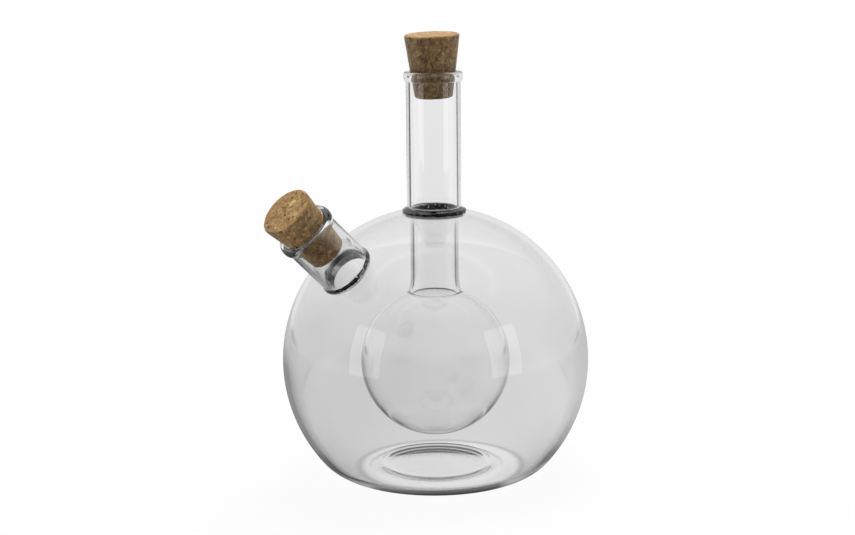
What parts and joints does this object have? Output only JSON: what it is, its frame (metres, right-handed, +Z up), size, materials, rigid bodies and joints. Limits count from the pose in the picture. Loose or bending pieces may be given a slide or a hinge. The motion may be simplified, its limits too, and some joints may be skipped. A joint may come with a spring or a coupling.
{
  "type": "oil and vinegar bottle",
  "caption": "Round clear-glass oil and vinegar bottle with a bulb hung inside its globe, a tall neck, a slanted side spout and tapered corks.",
  "frame": {"origin": "middle of the foot ring, on the table", "axes": "+Z up along the neck; the spout points halfway between -X and -Y"},
  "size_m": [0.1298, 0.1298, 0.1873],
  "materials": {
    "glass": "clear, fire-polished",
    "cork": "pressed cork grains, matt"
  },
  "bodies": {
    "glass": {"outer_globe": "glass", "inner_bulb": "glass", "inner_stem": "glass", "neck_tube": "glass", "neck_ring_seal": "glass", "spout_tube": "glass", "spout_ring_seal": "glass"},
    "neck_stopper": {"neck_cork": "cork"},
    "spout_stopper": {"spout_cork": "cork"}
  },
  "joints": [
    {"name": "neck_cork_pull", "type": "slide", "parent": "glass", "child": "neck_stopper", "axis": [0, 0, 1], "range_m": [0, 0.03]},
    {"name": "spout_cork_pull", "type": "slide", "parent": "glass", "child": "spout_stopper", "axis": [-0.5112, -0.5112, 0.6909], "range_m": [0, 0.03]}
  ]
}
